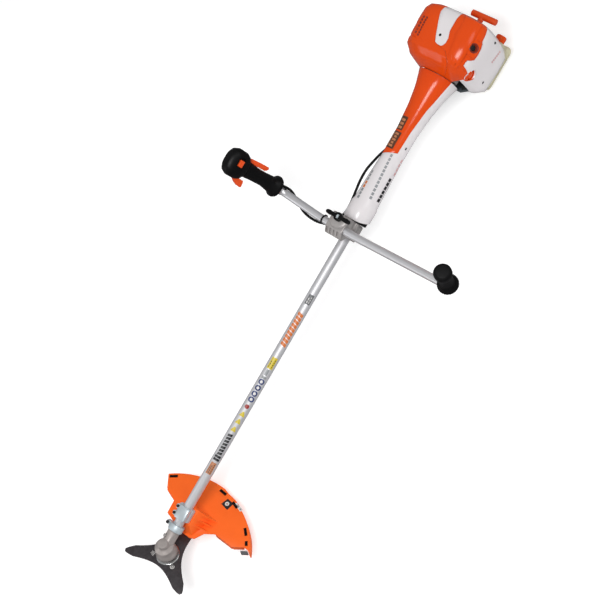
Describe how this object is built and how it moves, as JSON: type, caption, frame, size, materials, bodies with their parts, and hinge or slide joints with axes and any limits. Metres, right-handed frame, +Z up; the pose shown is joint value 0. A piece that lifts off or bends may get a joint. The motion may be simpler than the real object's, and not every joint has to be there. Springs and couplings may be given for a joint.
{
  "type": "brush cutter",
  "caption": "Petrol brush cutter with a toothed blade, guard, straight drive tube, bent handlebar with throttle grip and a rear engine under moulded covers.",
  "frame": {"origin": "middle of the engine foot's flat underside, under the drive tube's axis", "axes": "+X forwards along the drive tube to the blade, +Y the user's left, +Z up"},
  "size_m": [1.7896, 0.7159, 0.4319],
  "materials": {
    "orange": "glossy moulded plastic",
    "guard_orange": "satin moulded plastic",
    "white": "satin moulded plastic",
    "black": "fine matt grain",
    "rubber": "matt",
    "slate": "matt grain",
    "tank": "translucent, satin",
    "red": "satin",
    "alloy": "as cast",
    "pale_alloy": "as cast, painted silver",
    "steel": "turned",
    "blade": "dark satin lacquer",
    "polished": "drawn and polished",
    "iron": "machined",
    "black_steel": "black oxide"
  },
  "bodies": {
    "machine": {"gear_case": "alloy", "grease_plug": "alloy", "tube_clamp_screw": "black_steel", "guard": "guard_orange", "guard_saddle": "pale_alloy", "guard_clamp": "pale_alloy", "guard_screw_0": "black_steel", "guard_screw_1": "black_steel", "line_knife": "steel", "drive_tube": "polished", "shaft_bush_0": "rubber", "shaft_bush_1": "rubber", "clamp_base": "alloy", "clamp_cap": "alloy", "clamp_lower": "alloy", "clamp_screw_0": "steel", "clamp_screw_1": "steel", "handlebar": "polished", "left_grip": "rubber", "control_grip": "black", "control_head": "black", "throttle_cable": "rubber", "neck_lower": "white", "neck_upper": "orange", "neck_sleeve": "rubber", "clutch_housing": "iron", "crankcase": "alloy", "cylinder": "alloy", "spark_plug": "rubber", "muffler": "iron", "carburettor": "alloy", "engine_hood": "orange", "side_panel": "white", "top_strip": "white", "fan_shroud": "orange", "filter_cover": "white", "starter_housing": "orange", "fuel_tank": "tank", "engine_foot": "slate"},
    "spindle": {"blade": "blade", "thrust_flange": "steel", "rider_plate": "steel", "blade_nut": "steel", "output_shaft": "iron", "driven_bevel_gear": "iron"},
    "drive_line": {"drive_shaft": "steel", "drive_bevel_gear": "iron", "clutch_drum": "iron"},
    "crank": {"crankshaft": "steel", "flywheel": "alloy", "clutch_shoe_0": "iron", "clutch_shoe_1": "iron"},
    "trigger": {"throttle_trigger": "red"},
    "lockout": {"lockout_lever": "red"},
    "switch": {"stop_switch": "red"},
    "knob": {"wing_knob": "black"},
    "filter_knob": {"cover_knob": "orange"},
    "cap": {"fuel_cap": "orange"},
    "pulley": {"starter_pulley": "black"},
    "pull": {"recoil_handle": "red"}
  },
  "joints": [
    {"name": "blade_spin", "type": "hinge", "parent": "machine", "child": "spindle", "pos_m": [1.59, 0, 0.155], "axis": [-0.4772, 0, 0.8788], "continuous": true},
    {"name": "drive_spin", "type": "hinge", "parent": "machine", "child": "drive_line", "pos_m": [1.59, 0, 0.155], "axis": [1, 0, 0], "continuous": true},
    {"name": "crank_spin", "type": "hinge", "parent": "machine", "child": "crank", "pos_m": [0.034, 0, 0.155], "axis": [1, 0, 0], "continuous": true},
    {"name": "trigger_pull", "type": "hinge", "parent": "machine", "child": "trigger", "pos_m": [0.591, -0.27176, 0.39301], "axis": [0, 0.9251, 0.3798], "range_deg": [0, 8], "stiffness_Nm_per_rad": 0.5, "springref_deg": -17.19},
    {"name": "lockout_press", "type": "hinge", "parent": "machine", "child": "lockout", "pos_m": [0.546, -0.26341, 0.37266], "axis": [0, -0.9251, -0.3798], "range_deg": [0, 4], "stiffness_Nm_per_rad": 0.5, "springref_deg": -17.19},
    {"name": "switch_slide", "type": "slide", "parent": "machine", "child": "switch", "axis": [-1, 0, 0], "range_m": [0, 0.0055]},
    {"name": "wing_knob_turn", "type": "hinge", "parent": "machine", "child": "knob", "pos_m": [0.557, 0, 0.25], "axis": [0, 0, 1], "continuous": true},
    {"name": "cover_knob_turn", "type": "hinge", "parent": "machine", "child": "filter_knob", "pos_m": [0.054, 0.09, 0.193], "axis": [0, 1, 0], "continuous": true},
    {"name": "fuel_cap_turn", "type": "hinge", "parent": "machine", "child": "cap", "pos_m": [-0.07, 0.065, 0.079], "axis": [-1, 0, 0], "continuous": true},
    {"name": "pulley_spin", "type": "hinge", "parent": "machine", "child": "pulley", "pos_m": [-0.049, 0, 0.155], "axis": [-1, 0, 0], "continuous": true},
    {"name": "starter_pull", "type": "slide", "parent": "machine", "child": "pull", "axis": [-1, 0, 0], "range_m": [0, 0.6], "stiffness_N_per_m": 10, "springref_m": -0.5}
  ],
  "couplings": [
    {"joint": "drive_spin", "follows": "blade_spin", "ratio": 1.3571},
    {"joint": "pulley_spin", "follows": "starter_pull", "rad_per_m": 50}
  ]
}
